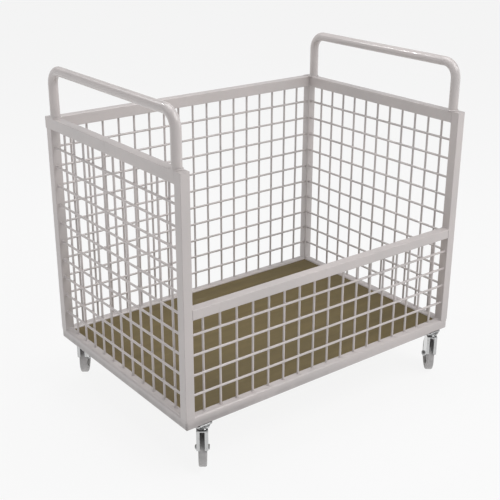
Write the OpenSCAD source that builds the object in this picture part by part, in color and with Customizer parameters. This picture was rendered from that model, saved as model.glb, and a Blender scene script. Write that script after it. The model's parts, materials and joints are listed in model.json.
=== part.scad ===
// Roll cage container: a welded steel cage on four swivel casters. Three sides
// are full-height wire mesh, the front has a half-height mesh panel with open
// access above it, the floor is a board, and each end carries a tube handle.
// Origin: centre of the whole object's box, on the floor. +Z up, front towards -Y.

/* [Frame] */
// Length of the frame over the end posts, along X
frame_l = 900; // [820:10:1000]
// Width of the frame over the front and back posts, along Y
frame_w = 620; // [560:10:700]
// Height of the posts' tops above the underside of the bottom rails
frame_h = 632; // [560:4:760]
// Outer side of the square post tube
tube = 25; // [25:1:28]
// Height of the bottom and top rails
rail_h = 30; // [28:1:36]
// Wall thickness of the frame tubes
wall = 1.5; // [1.2:0.1:2]
// Corner radius of the bottom rails' tube
rail_r = 6; // [3:0.5:6]
// Corner radius of the other square tubes
tube_r = 1.5; // [1:0.25:1.5]
// Height of the front mid rail's underside above the bottom rails' underside
mid_z = 282; // [200:1:330]

/* [Mesh] */
// Diameter of the mesh wire
wire_d = 6; // [4:0.5:7]
// Spacing of the upright wires
pitch_up = 48.5; // [44:0.5:60]
// Spacing of the level wires
pitch_level = 52.1; // [46:0.1:60]
// Height of the lowest level wire above the bottom rails' underside
first_level = 84.3; // [60:0.1:90]

/* [Handles] */
// Diameter of the handle tube
handle_d = 25; // [22:1:25]
// Height of the handles' grip axis above the posts' tops
handle_rise = 125; // [90:1:180]
// Bend radius of the handle tube's centreline
handle_bend = 40; // [36:1:60]
// Distance of a handle leg's axis from the frame's front or back face
leg_inset = 31; // [28:1:60]

/* [Floor] */
// Thickness of the floor board
board_t = 10; // [8:1:12]
// Depth of the board's face below the top of the bottom rails
board_drop = 5; // [3:0.5:6]
// Width of the cross members under the board
member_w = 30; // [25:1:40]

/* [Casters] */
// Height of the bottom rails' underside above the floor
caster_h = 132; // [130:1:142]
// Diameter of the caster wheels
wheel_d = 95; // [88:1:96]
// Width of the caster wheels
wheel_w = 20; // [18:1:24]
// Horizontal distance from the swivel axis to the wheel axle
trail = 24; // [22:1:26]
// Distance of the swivel axis from the frame's end face
caster_x_inset = 50; // [40:1:80]
// Distance of the swivel axis from the frame's front or back face
caster_y_inset = 14; // [14:1:24]
// Direction in which the wheels trail at rest, from +Y towards +X
caster_turn = 38; // [0:1:60]

/* [Hidden] */
$fn = 48;
hl = frame_l / 2;
hw = frame_w / 2;
z0 = caster_h;
inner_l = frame_l - 2 * tube;
inner_w = frame_w - 2 * tube;
run = 0.05;
gap = 0.02;

// Frame details
cap_t = 2;
end_cap_t = 3.5;
corner_r = 6;
under_top = frame_h - rail_h;

// Mesh counts and the two wire layers
n_long = floor((inner_l - 50) / pitch_up) + 1;
n_end = floor((inner_w - 50) / pitch_up) + 1;
n_full = floor((under_top - first_level - 20) / pitch_level) + 1;
n_half = floor((mid_z - first_level - 20) / pitch_level) + 1;
layer = wire_d / 2 + gap;

// Handles
handle_r = handle_d / 2;
handle_wall = 1.8;
leg_y = hw - leg_inset;
grip_z = frame_h + handle_rise;

// Floor
board_top = rail_h - board_drop;
board_bottom = board_top - board_t;
board_l = inner_l - 2;
board_w = inner_w - 2;
member_x = inner_l / 4;
ledge = 15;
ledge_t = 2;
screw_r = 2;
screw_head_r = 3.8;
screw_head_h = 2.4;
screw_bite = 7;
screw_y = inner_w / 2 - 30;
ledge_x = inner_l / 2 - 8;

// Casters, in the order front left, front right, back left, back right
wheel_r = wheel_d / 2;
plate = [44, 27, 4];
plate_under = z0 - plate[2];
upper_race_h = 4;
lower_race_h = 2.5;
race_gap = 0.4;
crown_t = 2.5;
crown_top = plate_under - upper_race_h - race_gap - lower_race_h;
crown_under = crown_top - crown_t;
arm_t = 2.5;
fork_gap = wheel_w + 3;
fork_out = fork_gap / 2 + arm_t;
fork_front = 24;
fork_rear = -28;
lip_w = 5.5;
lip_under = wheel_r + 20;
arm_end_r = 9;
kingpin_r = 5;
pin_nut_h = 4;
axle_r = 4;
axle_head_h = 3;
axle_nut_h = 4;
hex_r = 6.6;
bush_r = 6;
hub_r = 11;
tread_r = wheel_r - 11;
tread_edge = 4;
caster_off = 4;
caster_at = [
  [-hl + caster_x_inset + caster_off, -hw + caster_y_inset],
  [hl - caster_x_inset + caster_off, -hw + caster_y_inset],
  [-hl + caster_x_inset + caster_off, hw - caster_y_inset],
  [hl - caster_x_inset + caster_off, hw - caster_y_inset],
];
turn_of = [caster_turn - 2, caster_turn + 2, caster_turn - 2, caster_turn];

// Casters reach past the frame on three sides; the origin is the whole box's centre
function tyre_reach(along, across) =
  (trail + wheel_r - tread_edge) * along + (wheel_w / 2 - tread_edge) * across + tread_edge;
function fork_reach(along, across) = fork_front * along + fork_out * across;
past_back = max([for (i = [2, 3]) tyre_reach(cos(turn_of[i]), sin(turn_of[i]))]) - caster_y_inset;
right_inset = caster_x_inset - caster_off;
past_right = max([for (i = [1, 3]) tyre_reach(sin(turn_of[i]), cos(turn_of[i]))]) - right_inset;
past_front = max([for (i = [0, 1]) fork_reach(cos(turn_of[i]), sin(turn_of[i]))]) - caster_y_inset;
shift_x = -max(past_right, 0) / 2;
shift_y = (max(past_front, 0) - max(past_back, end_cap_t)) / 2;

// Colours
paint = [0.78, 0.75, 0.74];
timber = [0.42, 0.36, 0.22];
bright = [0.85, 0.85, 0.87];
zinc = [0.62, 0.63, 0.65];
grey_tyre = [0.45, 0.45, 0.46];
grey_hub = [0.55, 0.55, 0.57];

// ---- shared shapes ----

// Frame coordinates: X and Y from the frame's centre, Z from the bottom rails' underside
module in_frame() {
  translate([shift_x, shift_y, z0])
    children();
}

// Rounded rectangle, centred
module rounded(w, h, r) {
  square([w - 2 * r, h], center = true);
  square([w, h - 2 * r], center = true);
  for (x = [-1, 1], y = [-1, 1])
    translate([x * (w / 2 - r), y * (h / 2 - r)])
      circle(r = r);
}

// Hollow tube along +Z, w along X and h along Y
module box_tube(w, h, r, len) {
  difference() {
    linear_extrude(len)
      rounded(w, h, r);
    translate([0, 0, -1])
      linear_extrude(len + 2)
        rounded(w - 2 * wall, h - 2 * wall, max(r - wall, 0.4));
  }
}

// Tube lying along X, centred on X and Y, its underside at Z = 0
module tube_x(w, h, r, len) {
  translate([-len / 2, 0, h / 2])
    rotate([90, 0, 90])
      box_tube(w, h, r, len);
}

// Bottom rail along X with both ends mitred and their corners ground round, outer side towards -Y
module mitred_rail(len) {
  intersection() {
    tube_x(tube, rail_h, rail_r, len);
    translate([0, 1.5 * tube, -1])
      linear_extrude(rail_h + 2)
        rounded(len, 4 * tube, corner_r);
    translate([0, 0, -1])
      linear_extrude(rail_h + 2)
        polygon([
          [-len / 2, -tube / 2],
          [len / 2, -tube / 2],
          [len / 2 - tube, tube / 2],
          [-len / 2 + tube, tube / 2],
        ]);
  }
}

// One mesh sheet in the XZ plane: upright wires between two rails and
// level wires between two posts, the level ones on the -Y side
module mesh_sheet(span, top, n_up, n_level) {
  for (i = [0 : n_up - 1])
    translate([(i - (n_up - 1) / 2) * pitch_up, layer, rail_h])
      cylinder(d = wire_d, h = top - rail_h);
  for (k = [0 : n_level - 1])
    translate([-span / 2, -layer, first_level + k * pitch_level])
      rotate([0, 90, 0])
        cylinder(d = wire_d, h = span);
}

// Hexagon prism with a bore, along +Z
module hex_nut(r, h, bore) {
  difference() {
    cylinder(r = r, h = h, $fn = 6);
    translate([0, 0, -1])
      cylinder(r = bore, h = h + 2);
  }
}

// Ring along +Z
module ring(r_out, r_in, h) {
  difference() {
    cylinder(r = r_out, h = h);
    translate([0, 0, -1])
      cylinder(r = r_in, h = h + 2);
  }
}

// ---- frame ----

module bottom_rail_front() {
  color(paint)
    in_frame()
      translate([0, -hw + tube / 2, 0])
        mitred_rail(frame_l);
}

module bottom_rail_back() {
  color(paint)
    in_frame()
      translate([0, hw - tube / 2, 0])
        rotate([0, 0, 180])
          mitred_rail(frame_l);
}

module bottom_rail_left() {
  color(paint)
    in_frame()
      translate([-hl + tube / 2, 0, 0])
        rotate([0, 0, -90])
          mitred_rail(frame_w);
}

module bottom_rail_right() {
  color(paint)
    in_frame()
      translate([hl - tube / 2, 0, 0])
        rotate([0, 0, 90])
          mitred_rail(frame_w);
}

// Post on the bottom frame; x and y say which corner
module post(x, y, top) {
  color(paint)
    in_frame()
      translate([x * (hl - tube / 2), y * (hw - tube / 2), rail_h])
        box_tube(tube, tube, tube_r, top - rail_h);
}

// Closing plates of the front posts
module post_caps() {
  color(paint)
    in_frame()
      for (x = [-1, 1])
        translate([x * (hl - tube / 2), -hw + tube / 2, frame_h - cap_t])
          linear_extrude(cap_t)
            rounded(tube, tube, tube_r);
}

// End rail: butts against the front post and runs over the back post
module top_rail_end(x) {
  color(paint)
    in_frame()
      translate([x * (hl - tube / 2), tube / 2, under_top])
        rotate([0, 0, 90])
          tube_x(tube, rail_h, tube_r, frame_w - tube);
}

module top_rail_back() {
  color(paint)
    in_frame()
      translate([0, hw - tube / 2, under_top])
        tube_x(tube, rail_h, tube_r, inner_l);
}

// Plugs in the back ends of the end rails
module rail_end_caps() {
  color(paint)
    in_frame()
      for (x = [-1, 1])
        translate([x * (hl - tube / 2), hw, under_top + rail_h / 2])
          rotate([-90, 0, 0]) {
            linear_extrude(end_cap_t)
              rounded(tube, rail_h, tube_r);
            translate([0, 0, -12])
              linear_extrude(12)
                rounded(tube - 2 * wall - 0.4, rail_h - 2 * wall - 0.4, 1);
          }
}

module mid_rail() {
  color(paint)
    in_frame()
      translate([0, -hw + tube / 2, mid_z])
        tube_x(tube, tube, tube_r, inner_l);
}

// ---- mesh ----

module mesh_front() {
  color(paint)
    in_frame()
      translate([0, -hw + tube / 2, 0])
        mesh_sheet(inner_l, mid_z, n_long, n_half);
}

module mesh_back() {
  color(paint)
    in_frame()
      translate([0, hw - tube / 2, 0])
        mesh_sheet(inner_l, under_top, n_long, n_full);
}

module mesh_end(x) {
  color(paint)
    in_frame()
      translate([x * (hl - tube / 2), 0, 0])
        rotate([0, 0, -90])
          mesh_sheet(inner_w, under_top, n_end, n_full);
}

// ---- handles ----

// Round bar bent into a handle, in the YZ plane
module handle_bar(r) {
  for (y = [-1, 1]) {
    translate([0, y * leg_y, frame_h])
      cylinder(r = r, h = handle_rise - handle_bend);
    translate([0, y * (leg_y - handle_bend), grip_z - handle_bend])
      rotate([90, 0, 90])
        rotate([0, 0, y > 0 ? 0 : 90])
          rotate_extrude(angle = 90)
            translate([handle_bend, 0])
              circle(r = r);
  }
  translate([0, -leg_y + handle_bend, grip_z])
    rotate([-90, 0, 0])
      cylinder(r = r, h = 2 * (leg_y - handle_bend));
}

module handle(x) {
  color(paint)
    in_frame()
      translate([x * (hl - tube / 2), 0, 0])
        difference() {
          handle_bar(handle_r);
          handle_bar(handle_r - handle_wall);
        }
}

// Weld beads at the handles' feet, along the top rails
module handle_welds() {
  color(paint)
    in_frame()
      for (x = [-1, 1], y = [-1, 1])
        translate([x * (hl - tube / 2), y * leg_y, frame_h])
          intersection() {
            rotate_extrude()
              polygon([
                [handle_r + gap, 0],
                [handle_r + 4, 0],
                [handle_r + gap, 4.5],
              ]);
            translate([-10, -30, -1])
              cube([20, 60, 10]);
          }
}

// ---- floor ----

// Screw positions along the rows at the given X, at height z
module at_screws(rows, z) {
  for (x = rows, y = [-screw_y, 0, screw_y])
    translate([x, y, z])
      children();
}

// Rectangular tubes between the front and back rails
module cross_members() {
  color(paint)
    in_frame()
      difference() {
        for (x = [-member_x, 0, member_x])
          translate([x, 0, 0])
            rotate([0, 0, 90])
              tube_x(member_w, board_bottom, 2, inner_w);
        at_screws([-member_x, 0, member_x], -1)
          cylinder(r = screw_r + run, h = board_bottom + 2);
      }
}

// Angles on the end rails that carry the board's ends
module board_ledges() {
  color(paint)
    in_frame()
      difference() {
        for (x = [-1, 1])
          translate([x * inner_l / 2, 0, 0]) {
            translate([x > 0 ? -ledge : 0, -inner_w / 2, board_bottom - ledge_t])
              cube([ledge, inner_w, ledge_t]);
            translate([x > 0 ? -ledge_t : 0, -inner_w / 2, rail_r])
              cube([ledge_t, inner_w, board_bottom - rail_r]);
          }
        at_screws([-ledge_x, ledge_x], board_bottom - ledge_t - 1)
          cylinder(r = screw_r + run, h = ledge_t + 2);
      }
}

module board() {
  color(timber)
    in_frame()
      difference() {
        translate([-board_l / 2, -board_w / 2, board_bottom])
          cube([board_l, board_w, board_t]);
        at_screws([-ledge_x, -member_x, 0, member_x, ledge_x], board_bottom - 1)
          cylinder(r = screw_r + run, h = screw_bite + 1.5);
      }
}

// Screw pointing up, its head under Z = 0
module screw(len) {
  difference() {
    union() {
      cylinder(r = screw_r, h = len);
      translate([0, 0, -screw_head_h])
        cylinder(r = screw_head_r, h = screw_head_h);
    }
    translate([0, 0, -screw_head_h - 1])
      cylinder(r = 1.5, h = 2.4, $fn = 6);
  }
}

// Screws that hold the board from below
module board_screws() {
  color(zinc)
    in_frame() {
      at_screws([-member_x, 0, member_x], 0)
        screw(board_bottom + screw_bite);
      at_screws([-ledge_x, ledge_x], board_bottom - ledge_t)
        screw(ledge_t + screw_bite);
    }
}

// ---- casters ----

// Swivel axis of caster i: -X points from the swivel axis to the axle, Z is the floor
module at_caster(i) {
  translate([caster_at[i][0] + shift_x, caster_at[i][1] + shift_y, 0])
    rotate([0, 0, 270 - turn_of[i]])
      children();
}

// Axle of caster i: Z along the axle
module at_axle(i) {
  at_caster(i)
    translate([-trail, 0, wheel_r])
      rotate([90, 0, 0])
        children();
}

// Plates welded under the front and back rails
module caster_plates() {
  color(zinc)
    for (c = caster_at)
      translate([c[0] + shift_x, c[1] + shift_y, plate_under])
        difference() {
          linear_extrude(plate[2])
            rounded(plate[0], plate[1], 4);
          translate([0, 0, -1])
            cylinder(r = kingpin_r + gap, h = plate[2] + 2);
        }
}

// Fixed cups over the swivel balls, flared towards the plate
module upper_races() {
  color(bright)
    for (i = [0 : 3])
      at_caster(i)
        translate([0, 0, plate_under - upper_race_h])
          difference() {
            union() {
              cylinder(r = 18, h = upper_race_h);
              translate([0, 0, upper_race_h - 3])
                cylinder(r1 = 18, r2 = 20, h = 3);
            }
            translate([0, 0, -1])
              cylinder(r = kingpin_r + gap, h = upper_race_h + 2);
          }
}

module kingpins() {
  color(zinc)
    for (i = [0 : 3])
      at_caster(i)
        translate([0, 0, crown_under - pin_nut_h - 0.3])
          cylinder(r = kingpin_r, h = z0 - 0.3 - crown_under + pin_nut_h);
}

module kingpin_nuts() {
  color(zinc)
    for (i = [0 : 3])
      at_caster(i)
        translate([0, 0, crown_under - pin_nut_h - 0.3])
          hex_nut(8.6, pin_nut_h, kingpin_r + gap);
}

// Point where a line from p touches the circle round c
function tangent(p, c, r, side) =
  let (v = p - c, a = atan2(v[1], v[0]) + side * acos(r / norm(v)))
    c + r * [cos(a), sin(a)];

// Side view of a fork arm: upright leading edge, raked back to a round end at the axle
module arm_profile() {
  axle = [-trail, wheel_r];
  lead = [fork_front, lip_under];
  rear = [fork_rear, crown_top];
  inset = arm_end_r - 0.15;
  polygon([
    rear,
    [fork_front, crown_top],
    lead,
    tangent(lead, axle, inset, -1),
    tangent(rear, axle, inset, 1),
  ]);
  translate(axle)
    circle(r = arm_end_r);
}

// Pressed fork: crown, two arms, and lips turned inwards along the leading edges
module fork(i) {
  color(bright)
    at_caster(i)
      difference() {
        union() {
          translate([fork_rear, -fork_out, crown_under])
            cube([fork_front - fork_rear, 2 * fork_out, crown_t]);
          for (s = [-1, 1]) {
            translate([0, s > 0 ? fork_out : -fork_gap / 2, 0])
              rotate([90, 0, 0])
                linear_extrude(arm_t)
                  arm_profile();
            translate([fork_front - arm_t, s > 0 ? fork_gap / 2 - lip_w : -fork_gap / 2 - 0.5, lip_under])
              cube([arm_t, lip_w + 0.5, crown_top - lip_under - 0.5]);
          }
        }
        translate([0, 0, crown_under - 1])
          cylinder(r = kingpin_r + run, h = crown_t + 2);
        translate([-trail, fork_out + 1, wheel_r])
          rotate([90, 0, 0])
            cylinder(r = axle_r + gap, h = 2 * fork_out + 2);
      }
}

// Lower swivel race on the fork's crown
module lower_race(i) {
  color(bright)
    at_caster(i)
      translate([0, 0, crown_top])
        difference() {
          union() {
            cylinder(r = 14, h = lower_race_h);
            cylinder(r1 = 17.5, r2 = 16, h = 1.8);
          }
          translate([0, 0, -1])
            cylinder(r = kingpin_r + run, h = lower_race_h + 2);
        }
}

// Axle bolt: hexagon head at one side, thread end at the other
module axle_bolt(i) {
  color(zinc)
    at_axle(i) {
      translate([0, 0, -fork_out - axle_head_h])
        cylinder(r = hex_r, h = axle_head_h, $fn = 6);
      translate([0, 0, -fork_out])
        cylinder(r = axle_r, h = 2 * fork_out + axle_nut_h + 1.5);
    }
}

module axle_nut(i) {
  color(zinc)
    at_axle(i)
      translate([0, 0, fork_out])
        hex_nut(hex_r, axle_nut_h, axle_r + gap);
}

// Tread ring with rounded edges
module tyre(i) {
  color(grey_tyre)
    at_axle(i)
      rotate_extrude() {
        translate([tread_r + gap, -wheel_w / 2])
          square([wheel_r - tread_edge - tread_r - gap, wheel_w]);
        translate([tread_r + gap, -wheel_w / 2 + tread_edge])
          square([wheel_r - tread_r - gap, wheel_w - 2 * tread_edge]);
        for (s = [-1, 1])
          translate([wheel_r - tread_edge, s * (wheel_w / 2 - tread_edge)])
            circle(r = tread_edge);
      }
}

// Wheel centre: hub, web and rim
module wheel_centre(i) {
  color(grey_hub)
    at_axle(i)
      rotate_extrude() {
        translate([bush_r + gap, -wheel_w / 2 - 1])
          square([hub_r - bush_r - gap, wheel_w + 2]);
        translate([hub_r - 1, -3.5])
          square([tread_r - hub_r - 3, 7]);
        translate([tread_r - 5, -wheel_w / 2 + 1])
          square([5, wheel_w - 2]);
      }
}

module bush(i) {
  color(zinc)
    at_axle(i)
      translate([0, 0, -wheel_w / 2 - 1.3])
        ring(bush_r, axle_r + run, wheel_w + 2.6);
}

// ---- assembly ----
bottom_rail_front();
bottom_rail_back();
bottom_rail_left();
bottom_rail_right();
post(-1, -1, frame_h - cap_t);  // post_front_left
post(1, -1, frame_h - cap_t);  // post_front_right
post(-1, 1, under_top);  // post_back_left
post(1, 1, under_top);  // post_back_right
post_caps();
top_rail_end(-1);  // top_rail_left
top_rail_end(1);  // top_rail_right
top_rail_back();
rail_end_caps();
mid_rail();
mesh_front();
mesh_back();
mesh_end(-1);  // mesh_left
mesh_end(1);  // mesh_right
handle(-1);  // handle_left
handle(1);  // handle_right
handle_welds();
cross_members();
board_ledges();
board();
board_screws();
caster_plates();
upper_races();
kingpins();
kingpin_nuts();
fork(0);  // fork_fl
fork(1);  // fork_fr
fork(2);  // fork_bl
fork(3);  // fork_br
lower_race(0);  // lower_race_fl
lower_race(1);  // lower_race_fr
lower_race(2);  // lower_race_bl
lower_race(3);  // lower_race_br
axle_bolt(0);  // axle_fl
axle_bolt(1);  // axle_fr
axle_bolt(2);  // axle_bl
axle_bolt(3);  // axle_br
axle_nut(0);  // axle_nut_fl
axle_nut(1);  // axle_nut_fr
axle_nut(2);  // axle_nut_bl
axle_nut(3);  // axle_nut_br
tyre(0);  // tyre_fl
tyre(1);  // tyre_fr
tyre(2);  // tyre_bl
tyre(3);  // tyre_br
wheel_centre(0);  // wheel_fl
wheel_centre(1);  // wheel_fr
wheel_centre(2);  // wheel_bl
wheel_centre(3);  // wheel_br
bush(0);  // bush_fl
bush(1);  // bush_fr
bush(2);  // bush_bl
bush(3);  // bush_br
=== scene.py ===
"""Looks of the roll cage container: materials, welds, light and camera."""

import json
import math

import bmesh
import bpy
from mathutils import Matrix, Vector, noise


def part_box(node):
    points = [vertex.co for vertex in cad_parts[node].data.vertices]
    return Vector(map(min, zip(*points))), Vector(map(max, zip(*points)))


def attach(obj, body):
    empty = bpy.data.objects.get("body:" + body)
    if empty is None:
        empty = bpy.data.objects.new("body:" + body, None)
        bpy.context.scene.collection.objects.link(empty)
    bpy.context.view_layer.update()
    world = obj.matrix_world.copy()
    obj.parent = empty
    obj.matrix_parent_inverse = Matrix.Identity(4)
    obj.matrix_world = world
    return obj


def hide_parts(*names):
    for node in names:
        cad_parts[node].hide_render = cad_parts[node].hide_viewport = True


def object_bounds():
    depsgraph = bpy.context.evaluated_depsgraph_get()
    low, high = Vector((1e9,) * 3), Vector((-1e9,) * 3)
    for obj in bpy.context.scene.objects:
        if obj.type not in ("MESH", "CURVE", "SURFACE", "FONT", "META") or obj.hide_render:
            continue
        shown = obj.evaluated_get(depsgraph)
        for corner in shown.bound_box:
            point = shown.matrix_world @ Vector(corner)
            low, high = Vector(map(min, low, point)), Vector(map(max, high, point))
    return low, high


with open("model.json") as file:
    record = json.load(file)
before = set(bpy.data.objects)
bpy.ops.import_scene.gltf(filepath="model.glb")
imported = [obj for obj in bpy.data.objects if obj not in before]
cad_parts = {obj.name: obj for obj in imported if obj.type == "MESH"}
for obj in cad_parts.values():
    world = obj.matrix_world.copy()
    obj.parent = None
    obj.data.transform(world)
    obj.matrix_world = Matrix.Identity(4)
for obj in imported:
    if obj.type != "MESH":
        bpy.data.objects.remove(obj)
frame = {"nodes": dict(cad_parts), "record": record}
cad_lo, cad_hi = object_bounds()
nodes = frame["nodes"]
MM = 0.001


def corners(node):
    """Lowest and highest corner of a CAD node."""
    lo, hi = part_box(node)
    return Vector(lo), Vector(hi)


RAIL_LO, RAIL_HI = corners("bottom_rail_front")

# Painted shade on the bottom rails: darker downwards, and towards the front left corner.
LOW_SHADE_TOP = RAIL_HI.z - 3 * MM
LOW_SHADE_FULL = RAIL_HI.z - 17 * MM
LOW_SHADE_FAINT_X = RAIL_LO.x + 603 * MM
LOW_SHADE_STRONG_X = RAIL_LO.x + 33 * MM
LOW_SHADE_FAINT, LOW_SHADE_STRONG = 0.15, 0.75

# Edge wear, by the cosine between the flat and the rounded normal.
WEAR_STARTS, WEAR_FULL = 0.985, 0.80
FRAME_EDGE = 1.4 * MM
PLATED_EDGE = 0.7 * MM
PLASTIC_EDGE = 0.8 * MM

# Weld bead radii, and the distance between a bead's rings.
SEAM_R = 1.2 * MM
MITRE_R = 0.9 * MM
POST_FILLET_R = 2.1 * MM
HANDLE_FILLET_R = 2.4 * MM
PLATE_FILLET_R = 1.9 * MM
BEAD_STEP = 1.3 * MM

# Spot welds at wire crossings, and collars at wire ends.
NUGGET_R = 4.3 * MM
NUGGET_VARIES = 0.5 * MM
NUGGET_HALF_T = 2.0 * MM
COLLAR_R = 4.5 * MM
COLLAR_H = 2.2 * MM
COLLAR_PROFILE = ((0.0, 1.0), (0.25, 0.62), (0.6, 0.25), (1.0, 0.02))  # shares of height, width

# Dressed weld at a post's foot: millimetres above the rail's top, and in from the post's face.
SHOE_PROFILE = (
    (1.6, 0.3),
    (0.9, -0.12),
    (0.0, -0.16),
    (-2.0, -0.1),
    (-4.5, -0.02),
    (-6.5, 0.12),
    (-8.0, 0.6),
    (-9.0, 1.4),
)
SHOE_SQUARENESS = 9
MITRE_IN = 2.3 * MM
MITRE_SPAN = (5 * MM, 27 * MM)  # below the rail's top

# Welds stay this far inside the CAD's box, clear of its flush faces.
BOX_CLEARANCE = 0.06 * MM

# Camera, placed from the frame's front left bottom corner; angles in degrees.
CAMERA_OFFSET = (-1.0542, -1.6000, 1.2272)
CAMERA_HEADING = 37.777  # from +Y towards +X
CAMERA_DOWN = 21.849
CAMERA_ROLL = 0.186
CAMERA_LENS = 68.6
CAMERA_SHIFT = (-0.0012, -0.0010)

# World brightness by the sine of the direction's height: bright low down, dim overhead.
SKY_LOW, SKY_HIGH = 0.02, 0.32
SKY_BRIGHT, SKY_DIM = 0.90, 0.27
FLOOR_SIZE = 60
FLOOR_GLOW = 0.885
LIGHTS_AIM = (0, 0, 0.4)


# ---- materials ----


class Shader:
    """A node-built material; most helpers add nodes and return an output."""

    def __init__(self, name, **values):
        self.material = bpy.data.materials.new(name)
        self.material.use_nodes = True
        self.tree = self.material.node_tree
        self.tree.nodes.clear()
        out = self.add("ShaderNodeOutputMaterial")
        self.bsdf = self.add("ShaderNodeBsdfPrincipled")
        self.join(self.bsdf.outputs[0], out.inputs[0])
        self.place = self.add("ShaderNodeTexCoord").outputs["Object"]
        for key, value in values.items():
            self.bsdf.inputs[key.replace("_", " ")].default_value = value

    def add(self, kind, **settings):
        node = self.tree.nodes.new(kind)
        for key, value in settings.items():
            setattr(node, key, value)
        return node

    def join(self, source, target):
        self.tree.links.new(source, target)

    def put(self, socket, value):
        if isinstance(value, (int, float, tuple)):
            socket.default_value = value
        else:
            self.join(value, socket)

    def stretched(self, factors):
        """Place on the object, scaled along each axis."""
        node = self.add("ShaderNodeMapping")
        self.join(self.place, node.inputs["Vector"])
        node.inputs["Scale"].default_value = factors
        return node.outputs[0]

    def along(self, axis):
        """Place on the object along X, Y or Z (0, 1 or 2), in metres."""
        node = self.add("ShaderNodeSeparateXYZ")
        self.join(self.place, node.inputs[0])
        return node.outputs[axis]

    def noise(self, scale, detail=3.0, rough=0.55, place=None):
        node = self.add("ShaderNodeTexNoise")
        self.join(place or self.place, node.inputs["Vector"])
        node.inputs["Scale"].default_value = scale
        node.inputs["Detail"].default_value = detail
        node.inputs["Roughness"].default_value = rough
        return node.outputs["Fac"]

    def cells(self, scale):
        node = self.add("ShaderNodeTexVoronoi")
        self.join(self.place, node.inputs["Vector"])
        node.inputs["Scale"].default_value = scale
        return node.outputs["Distance"]

    def remap(self, value, a, b, c=0.0, d=1.0):
        """Turns the range a to b into c to d, and holds it beyond."""
        node = self.add("ShaderNodeMapRange")
        self.join(value, node.inputs["Value"])
        for key, number in zip(("From Min", "From Max", "To Min", "To Max"), (a, b, c, d)):
            node.inputs[key].default_value = number
        return node.outputs[0]

    def maths(self, operation, a, b):
        node = self.add("ShaderNodeMath", operation=operation)
        self.put(node.inputs[0], a)
        self.put(node.inputs[1], b)
        return node.outputs[0]

    def times(self, a, b):
        return self.maths("MULTIPLY", a, b)

    def plus(self, a, b):
        return self.maths("ADD", a, b)

    def mix(self, amount, a, b):
        node = self.add("ShaderNodeMix", data_type="RGBA")
        self.put(node.inputs["Factor"], amount)
        self.put(node.inputs[6], a)
        self.put(node.inputs[7], b)
        return node.outputs[2]

    def over(self, tone, colour, field, amount):
        """Tone with a colour laid over it where the field is 1, as strong as the amount."""
        return self.mix(self.times(field, amount), tone, colour)

    def rounded(self, radius):
        """Normal with the edges rounded off."""
        node = self.add("ShaderNodeBevel", samples=4)
        node.inputs["Radius"].default_value = radius
        return node.outputs[0]

    def edges(self, rounded):
        """1 along edges, where the rounded normal turns from the flat one, and 0 elsewhere."""
        flat = self.add("ShaderNodeNewGeometry").outputs["Normal"]
        dot = self.add("ShaderNodeVectorMath", operation="DOT_PRODUCT")
        self.join(rounded, dot.inputs[0])
        self.join(flat, dot.inputs[1])
        return self.remap(dot.outputs["Value"], WEAR_STARTS, WEAR_FULL)

    def bump(self, height, strength, distance, normal=None):
        node = self.add("ShaderNodeBump")
        node.inputs["Strength"].default_value = strength
        node.inputs["Distance"].default_value = distance
        self.join(height, node.inputs["Height"])
        if normal is not None:
            self.join(normal, node.inputs["Normal"])
        return node.outputs[0]

    def finish(self, colour, rough, normal):
        self.put(self.bsdf.inputs["Base Color"], colour)
        self.put(self.bsdf.inputs["Roughness"], rough)
        self.put(self.bsdf.inputs["Normal"], normal)
        return self.material


def grey(value, warm=0.0):
    return (value * (1 + warm), value, value * (1 - 0.25 * warm), 1.0)


def painted_low_shade(s):
    """Painted shade in patches on the bottom rails' lower part, darkest towards the front left
    corner.
    """
    low = s.remap(s.along(2), LOW_SHADE_TOP, LOW_SHADE_FULL)
    patch = s.remap(s.noise(14.0, 5.0), 0.30, 0.60, 0.35, 1.0)
    side = s.remap(s.along(0), LOW_SHADE_FAINT_X, LOW_SHADE_STRONG_X, LOW_SHADE_FAINT, LOW_SHADE_STRONG)
    return s.times(s.times(low, patch), side)


def powder_coat(name, base, edge_radius=None):
    """Pale grey powder coat: cloudy tone, orange peel, scuffs, painted shade low down on the
    bottom rails, wear on edges.
    """
    s = Shader(name, Coat_Weight=0.55, Coat_Roughness=0.09, Specular_IOR_Level=0.5)
    cloud = s.remap(s.noise(4.5, 4.0), 0.35, 0.65)
    tone = s.mix(cloud, grey(base * 0.95, 0.075), grey(base * 1.04, 0.095))
    speck = s.remap(s.noise(900.0, 2.0), 0.60, 0.75)
    tone = s.over(tone, grey(base * 0.7, 0.03), speck, 0.12)
    scuff = s.remap(s.noise(60.0, 6.0, 0.7, s.stretched((1.0, 1.0, 0.18))), 0.62, 0.72)
    tone = s.over(tone, grey(base * 0.62, 0.03), scuff, 0.20)
    # painted shade: the bottom rails darkened low down and towards the front left corner
    tone = s.mix(painted_low_shade(s), tone, grey(base * 0.46, 0.09))
    rough = s.remap(s.noise(35.0, 4.0), 0.3, 0.7, 0.30, 0.42)
    rough = s.plus(rough, s.times(scuff, 0.18))
    normal = None
    if edge_radius:
        normal = s.rounded(edge_radius)
        chip = s.times(s.edges(normal), s.remap(s.noise(140.0, 5.0, 0.7), 0.57, 0.64))
        tone = s.over(tone, grey(base * 0.38, 0.03), chip, 0.65)
    orange_peel = s.noise(420.0, 2.0, 0.5)
    return s.finish(tone, rough, s.bump(orange_peel, 0.10, 0.4 * MM, normal))


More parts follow.
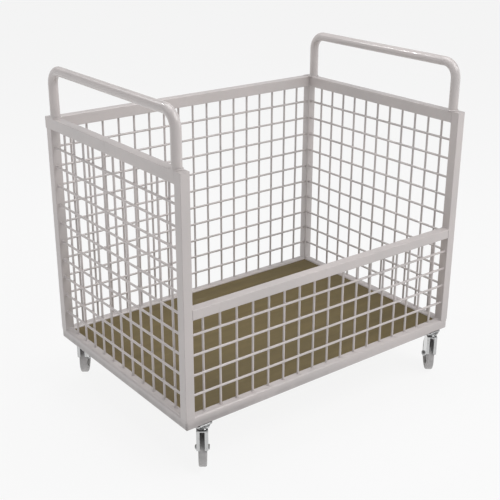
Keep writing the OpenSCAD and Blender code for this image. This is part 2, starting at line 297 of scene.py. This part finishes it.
def bright_plate(name, base, rough_lo, rough_hi, stains):
    """Plated steel: polish haze, fine scratches and a few dull stains."""
    s = Shader(name, Metallic=1.0)
    haze = s.noise(55.0, 5.0, 0.6)
    stain = s.times(s.remap(s.noise(120.0, 4.0, 0.7), 0.58, 0.70), stains)
    tone = s.mix(s.remap(haze, 0.35, 0.65), grey(base * 0.93), grey(base, -0.01))
    tone = s.mix(stain, tone, grey(base * 0.45, 0.06))
    rough = s.remap(haze, 0.3, 0.7, rough_lo, rough_hi)
    rough = s.plus(rough, s.times(stain, 0.25))
    scratch = s.noise(700.0, 3.0, 0.6, s.stretched((1.0, 0.12, 1.0)))
    return s.finish(tone, rough, s.bump(scratch, 0.05, 0.2 * MM, s.rounded(PLATED_EDGE)))


def faced_board():
    """Olive-brown faced board: mottled film over faint grain, dark flecks, rubbed tracks."""
    s = Shader("board_face", Coat_Weight=0.15, Coat_Roughness=0.3)
    dark = (0.112, 0.080, 0.026, 1.0)
    light = (0.144, 0.105, 0.036, 1.0)
    dull = (0.122, 0.095, 0.038, 1.0)
    black = (0.075, 0.055, 0.022, 1.0)
    bare = (0.27, 0.23, 0.13, 1.0)
    grain = s.noise(26.0, 6.0, 0.65, s.stretched((0.16, 1.6, 1.0)))
    mottle = s.noise(9.0, 5.0, 0.6)
    fleck = s.remap(s.noise(420.0, 3.0, 0.7), 0.62, 0.74)
    rub = s.remap(s.noise(16.0, 6.0, 0.72, s.stretched((0.3, 2.2, 1.0))), 0.60, 0.74)
    tone = s.mix(s.remap(grain, 0.35, 0.65), dark, light)
    tone = s.over(tone, dull, s.remap(mottle, 0.35, 0.7), 0.45)
    tone = s.over(tone, black, fleck, 0.35)
    tone = s.over(tone, bare, rub, 0.30)
    rough = s.remap(mottle, 0.3, 0.7, 0.48, 0.66)
    height = s.plus(grain, s.times(fleck, 0.5))
    return s.finish(tone, rough, s.bump(height, 0.20, 0.6 * MM))


def grey_rubber():
    """Grey tread rubber: cloudy tone, rolled-in dirt and moulding grain."""
    s = Shader("tyre_rubber", Specular_IOR_Level=0.4)
    cloud = s.noise(70.0, 5.0, 0.65)
    dirt = s.remap(s.noise(240.0, 4.0, 0.7), 0.56, 0.70)
    tone = s.mix(s.remap(cloud, 0.35, 0.65), grey(0.36, 0.02), grey(0.43, 0.03))
    tone = s.over(tone, grey(0.21, 0.05), dirt, 0.4)
    rough = s.remap(cloud, 0.3, 0.7, 0.50, 0.68)
    return s.finish(tone, rough, s.bump(s.noise(900.0, 3.0), 0.25, 0.3 * MM))


def moulded_plastic():
    """Grey moulded wheel centre: fine spark texture and scuffed faces."""
    s = Shader("wheel_centre_plastic")
    cloud = s.noise(60.0, 4.0)
    scuff = s.remap(s.noise(160.0, 5.0, 0.75), 0.60, 0.70)
    tone = s.mix(s.remap(cloud, 0.35, 0.65), grey(0.42), grey(0.50))
    tone = s.over(tone, grey(0.6), scuff, 0.3)
    rough = s.remap(cloud, 0.3, 0.7, 0.42, 0.58)
    return s.finish(tone, rough, s.bump(s.cells(1400.0), 0.12, 0.2 * MM, s.rounded(PLASTIC_EDGE)))


WELD = powder_coat("powder_coat_weld", 0.44)
ZINC = bright_plate("zinc_plate", 0.52, 0.28, 0.42, 0.45)
BY_SLOT = {
    "frame_paint": powder_coat("powder_coat", 0.455, FRAME_EDGE),
    "wire_paint": powder_coat("powder_coat_wire", 0.455),
    "board": faced_board(),
    "chrome": bright_plate("caster_chrome", 0.56, 0.09, 0.22, 0.45),
    "zinc": ZINC,
    "tyre": grey_rubber(),
    "wheel_centre": moulded_plastic(),
}
slot_of = {part["node"]: part["material_slot"] for part in frame["record"]["subparts"]}
for name, thing in nodes.items():
    thing.data.materials.clear()
    thing.data.materials.append(BY_SLOT[slot_of[name]])


# ---- mesh building ----


def circle(count, shift=0.0):
    """(cosine, sine) of equally spaced angles, the first one moved on by a share of a step."""
    angles = [math.tau * (k + shift) / count for k in range(count)]
    return [(math.cos(t), math.sin(t)) for t in angles]


class Builder:
    """Collects closed shapes into one mesh."""

    def __init__(self):
        self.points = []
        self.faces = []

    def rings(self, loops):
        """Closed skin through loops of equal length, with flat ends."""
        start, n = len(self.points), len(loops[0])
        for loop in loops:
            self.points.extend(loop)
        for a in range(len(loops) - 1):
            for k in range(n):
                i, j = start + a * n + k, start + a * n + (k + 1) % n
                self.faces.append((i, j, j + n, i + n))
        last = start + (len(loops) - 1) * n
        self.faces.append(tuple(start + k for k in reversed(range(n))))
        self.faces.append(tuple(last + k for k in range(n)))

    def bead(self, path, radius, seed=0.0, sides=8):
        """Rippled weld bead along a polyline, thin at both ends."""
        stations = []
        for a, b in zip(path, path[1:]):
            count = max(2, round((b - a).length / BEAD_STEP))
            stations += [a.lerp(b, k / count) for k in range(count)]
        stations.append(path[-1])
        last = len(stations) - 1
        loops = []
        side = (stations[1] - stations[0]).orthogonal()
        for k, p in enumerate(stations):
            along = (stations[min(k + 1, last)] - stations[max(k - 1, 0)]).normalized()
            side = (side - along * side.dot(along)).normalized()
            up = along.cross(side)
            taper = min(1.0, 0.35 + 0.35 * min(k, last - k))
            ripple = 0.07 * math.cos(k * 2.1)
            lumps = 0.10 * noise.noise(p * 260 + Vector((seed, 0, 0)))
            r = radius * taper * (1 + ripple + lumps)
            loops.append([p + (side * c + up * s) * r for c, s in circle(sides)])
        self.rings(loops)

    def blob(self, centre, axes, rows=5, sides=8):
        """Ellipsoid; axes are its three half-length vectors, the last one its pole."""
        loops = []
        for a in range(1, rows):
            lat = math.pi * a / rows - math.pi / 2
            ring = centre + axes[2] * math.sin(lat)
            wide = math.cos(lat)
            loops.append([ring + (axes[0] * c + axes[1] * s) * wide for c, s in circle(sides)])
        self.rings(loops)

    def flare(self, foot, along, r_wire, r_foot, height, seed=0.0, sides=14):
        """Weld collar where a wire meets a face: wide at the foot, closing on the wire."""
        side = along.orthogonal().normalized()
        up = along.cross(side)
        loops = []
        for level, share in COLLAR_PROFILE:
            loop = []
            for c, s in circle(sides):
                out = side * c + up * s
                uneven = 1 + 0.22 * noise.noise((foot + out * 0.004) * 300 + Vector((0, seed, 0)))
                reach = r_wire + (r_foot - r_wire) * share * uneven
                loop.append(foot + along * level * height + out * reach)
            loops.append(loop)
        self.rings(loops)

    def piece(self, name, material, body, slot):
        """Makes the object, held inside the CAD's box, and ties it to its body; the slot is not
        used.
        """
        lo = [v + BOX_CLEARANCE for v in cad_lo]
        hi = [v - BOX_CLEARANCE for v in cad_hi]
        inside = [tuple(min(max(p[k], lo[k]), hi[k]) for k in range(3)) for p in self.points]
        mesh = bpy.data.meshes.new(name)
        mesh.from_pydata(inside, [], self.faces)
        work = bmesh.new()
        work.from_mesh(mesh)
        bmesh.ops.recalc_face_normals(work, faces=work.faces)
        work.to_mesh(mesh)
        work.free()
        mesh.polygons.foreach_set("use_smooth", [True] * len(mesh.polygons))
        mesh.materials.append(material)
        thing = bpy.data.objects.new(name, mesh)
        bpy.context.scene.collection.objects.link(thing)
        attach(thing, body)
        return thing


# ---- welds ----


def solids(node):
    """(lowest, highest) corner of each separate solid of a CAD node."""
    thing = nodes[node]
    work = bmesh.new()
    work.from_mesh(thing.data)
    work.transform(thing.matrix_world)
    bmesh.ops.remove_doubles(work, verts=work.verts, dist=0.01 * MM)
    left = set(work.verts)
    boxes = []
    while left:
        queue, found = [left.pop()], []
        while queue:
            vert = queue.pop()
            found.append(vert.co.copy())
            for edge in vert.link_edges:
                other = edge.other_vert(vert)
                if other in left:
                    left.remove(other)
                    queue.append(other)
        axes = list(zip(*found))
        boxes.append((Vector([min(a) for a in axes]), Vector([max(a) for a in axes])))
    work.free()
    return sorted(boxes, key=lambda box: tuple(box[0]))


def unit(axis):
    return Vector([float(k == axis) for k in range(3)])


def mesh_welds(sheet):
    """Spot-weld nuggets at the wire crossings and small collars at the wire ends."""
    nuggets, collars = Builder(), Builder()
    wires = {0: [], 1: [], 2: []}
    for lo, hi in solids(sheet):
        size = hi - lo
        axis = max(range(3), key=lambda k: size[k])
        middle = (lo + hi) / 2
        wires[axis].append(middle)
        for way in (-1, 1):
            foot = middle + unit(axis) * way * size[axis] / 2
            inward = -unit(axis) * way
            collars.flare(foot, inward, min(size) / 2, COLLAR_R, COLLAR_H, seed=foot.x * 50)
    run = 0 if wires[0] else 1
    thin = 1 - run
    for upright in wires[2]:
        for level in wires[run]:
            centre = upright.copy()
            centre[thin] = (upright[thin] + level[thin]) / 2
            centre.z = level.z
            wide = NUGGET_R + NUGGET_VARIES * noise.noise(centre * 90)
            nuggets.blob(centre, (unit(run) * wide, unit(2) * wide, unit(thin) * NUGGET_HALF_T))
    side = sheet.removeprefix("mesh_")
    nuggets.piece("spot_welds_" + side, WELD, "cage", "wire_paint")
    collars.piece("wire_collars_" + side, WELD, "cage", "wire_paint")


def outline(axis, at, lo, hi):
    """Closed rectangle through lo and hi in the plane where the axis has that value."""
    i, j = [k for k in range(3) if k != axis]
    path = []
    for a, b in ((0, 0), (1, 0), (1, 1), (0, 1), (0, 0)):
        p = Vector((0, 0, 0))
        p[axis], p[i], p[j] = at, (lo, hi)[a][i], (lo, hi)[b][j]
        path.append(p)
    return path


def rail_welds():
    """Seams where rails meet posts and each other."""
    b = Builder()
    for node, axis in (("mid_rail", 0), ("top_rail_back", 0), ("cross_members", 1)):
        for lo, hi in solids(node):
            for at in (lo[axis], hi[axis]):
                b.bead(outline(axis, at, lo, hi), SEAM_R, seed=at * 40)
    for side in ("left", "right"):
        lo, hi = corners("top_rail_" + side)
        b.bead(outline(1, lo.y, lo, hi), SEAM_R, seed=3.0)
        lo, hi = corners("post_back_" + side)
        b.bead(outline(2, hi.z, lo, hi), SEAM_R, seed=5.0)
    b.piece("rail_welds", WELD, "cage", "frame_paint")


def shoe(b, lo, hi):
    """Weld metal dressed flush where a post stands over the rails' rounded edges."""
    middle = (lo + hi) / 2
    power = SHOE_SQUARENESS
    loops = []
    for rise, inset in SHOE_PROFILE:
        half = (hi.x - lo.x) / 2 - inset * MM
        loop = []
        for c, s in circle(48, 0.5):
            reach = half / (abs(c) ** power + abs(s) ** power) ** (1 / power)
            p = Vector((middle.x + c * reach, middle.y + s * reach, lo.z + rise * MM))
            push = 0.14 * MM * noise.noise(p * 320)
            lift = 0.5 * MM * noise.noise(p * 150)
            loop.append(p + Vector((c * push, s * push, lift)))
        loops.append(loop)
    b.rings(loops)


def post_welds():
    """Post feet: flush outer faces, fillets on top of the rails, mitre seams in the corners."""
    b = Builder()
    short = 3.5 * MM
    lift = 0.5 * MM
    for x, y in ((x, y) for x in ("left", "right") for y in ("front", "back")):
        lo, hi = corners(f"post_{y}_{x}")
        shoe(b, lo, hi)
        inward = Vector((1 if x == "left" else -1, 1 if y == "front" else -1, 0))
        outer = Vector((lo.x if x == "left" else hi.x, lo.y if y == "front" else hi.y, 0))
        inner = Vector((hi.x if x == "left" else lo.x, hi.y if y == "front" else lo.y, 0))
        seam = outer + inward * MITRE_IN
        ends = [seam + Vector((0, 0, lo.z - drop)) for drop in MITRE_SPAN]
        b.bead(ends, MITRE_R, seed=lo.x * 7)
        foot = inner + inward * lift + Vector((0, 0, lo.z + lift))
        ends = [Vector((foot.x, at, foot.z)) for at in (lo.y + short, hi.y - short)]
        b.bead(ends, POST_FILLET_R, seed=lo.x * 30)
        ends = [Vector((at, foot.y, foot.z)) for at in (lo.x + short, hi.x - short)]
        b.bead(ends, POST_FILLET_R, seed=lo.y * 30)
    b.piece("post_foot_welds", WELD, "cage", "frame_paint")


def handle_foot_welds():
    """Rippled fillets round the handles' feet, in place of the plain ones."""
    b = Builder()
    around = circle(32)
    for side in ("left", "right"):
        lo, hi = corners("handle_" + side)
        r = (hi.x - lo.x) / 2
        for y in (lo.y + r, hi.y - r):
            centre = Vector((lo.x + r, y, lo.z + 0.9 * MM))
            path = [centre + Vector((c, s, 0)) * (r + 0.5 * MM) for c, s in around + around[:1]]
            b.bead(path, HANDLE_FILLET_R, seed=y * 20)
    thing = b.piece("handle_foot_welds", WELD, "cage", "frame_paint")
    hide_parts("handle_welds")


def caster_welds():
    """Fillets between the caster plates and the bottom rails."""
    b = Builder()
    for lo, hi in solids("caster_plates"):
        z = hi.z - 0.6 * MM
        for y in (lo.y + 0.6 * MM, hi.y - 0.6 * MM):
            ends = [Vector((x, y, z)) for x in (lo.x + 5 * MM, hi.x - 5 * MM)]
            b.bead(ends, PLATE_FILLET_R, seed=y * 9)
        for x in (lo.x - 0.4 * MM, hi.x + 0.4 * MM):
            ends = [Vector((x, y, z)) for y in (lo.y + 7 * MM, hi.y - 7 * MM)]
            b.bead(ends, PLATE_FILLET_R, seed=x * 9)
    b.piece("caster_plate_welds", ZINC, "cage", "zinc")


for sheet in ("mesh_front", "mesh_back", "mesh_left", "mesh_right"):
    mesh_welds(sheet)
rail_welds()
post_welds()
handle_foot_welds()
caster_welds()


# ---- camera and light ----


def make_camera():
    data = bpy.data.cameras.new("camera")
    data.lens = CAMERA_LENS
    data.sensor_width = 36.0
    data.shift_x, data.shift_y = CAMERA_SHIFT
    data.dof.use_dof = False
    data.clip_end = 100
    place = Matrix.Translation(RAIL_LO + Vector(CAMERA_OFFSET))
    heading = Matrix.Rotation(-math.radians(CAMERA_HEADING), 4, "Z")
    tilt = Matrix.Rotation(math.radians(90 - CAMERA_DOWN), 4, "X")
    roll = Matrix.Rotation(math.radians(CAMERA_ROLL), 4, "Z")
    cam = bpy.data.objects.new("camera", data)
    cam.matrix_world = place @ heading @ tilt @ roll
    bpy.context.scene.collection.objects.link(cam)
    bpy.context.scene.camera = cam


def make_world():
    """Near-white surroundings that dim overhead, so the lights give the shape."""
    bpy.context.scene.view_settings.view_transform = "Standard"
    world = bpy.data.worlds.new("studio")
    world.use_nodes = True
    tree = world.node_tree
    back = tree.nodes["Background"]
    back.inputs["Color"].default_value = (0.98, 0.985, 1.0, 1.0)
    place = tree.nodes.new("ShaderNodeTexCoord")
    split = tree.nodes.new("ShaderNodeSeparateXYZ")
    fade = tree.nodes.new("ShaderNodeMapRange")
    fade.interpolation_type = "SMOOTHSTEP"
    fade.inputs["From Min"].default_value = SKY_LOW
    fade.inputs["From Max"].default_value = SKY_HIGH
    fade.inputs["To Min"].default_value = SKY_BRIGHT
    fade.inputs["To Max"].default_value = SKY_DIM
    tree.links.new(place.outputs["Generated"], split.inputs[0])
    tree.links.new(split.outputs[2], fade.inputs["Value"])
    tree.links.new(fade.outputs[0], back.inputs["Strength"])
    bpy.context.scene.world = world


def make_floor():
    """Plain pale floor, lit mostly by its own glow, so it keeps only a soft shadow."""
    bpy.ops.mesh.primitive_grid_add(x_subdivisions=40, y_subdivisions=40, size=FLOOR_SIZE)
    floor = bpy.context.object
    floor.name = "studio_floor"
    white = (1.0, 1.0, 1.0, 1.0)
    s = Shader(
        "studio_floor",
        Specular_IOR_Level=0.0,
        Emission_Color=white,
        Emission_Strength=FLOOR_GLOW,
    )
    tone = s.mix(s.remap(s.noise(0.4, 3.0), 0.3, 0.7), grey(0.058), grey(0.062))
    floor.data.materials.append(s.finish(tone, 0.9, s.bump(s.noise(30.0, 3.0), 0.02, MM)))


def area_light(name, place, aim, width, height, power):
    data = bpy.data.lights.new(name, "AREA")
    data.shape = "RECTANGLE"
    data.size, data.size_y = width, height
    data.energy = power
    lamp = bpy.data.objects.new(name, data)
    lamp.location = place
    lamp.rotation_euler = (Vector(aim) - Vector(place)).to_track_quat("-Z", "Y").to_euler()
    bpy.context.scene.collection.objects.link(lamp)


make_camera()
make_world()
make_floor()
area_light("key", (0.85, -1.9, 3.1), LIGHTS_AIM, 2.6, 2.0, 72)
area_light("top", (0.2, 0.6, 3.4), LIGHTS_AIM, 2.4, 2.0, 44)
area_light("right", (2.6, -1.4, 1.4), LIGHTS_AIM, 1.4, 1.4, 7)
area_light("left", (-1.7, 0.4, 1.9), (-0.4, 0.0, 0.6), 0.9, 0.9, 3)
area_light("back_strip", (-1.0, 2.2, 2.9), (-0.45, 0.1, 0.9), 0.12, 0.45, 18)
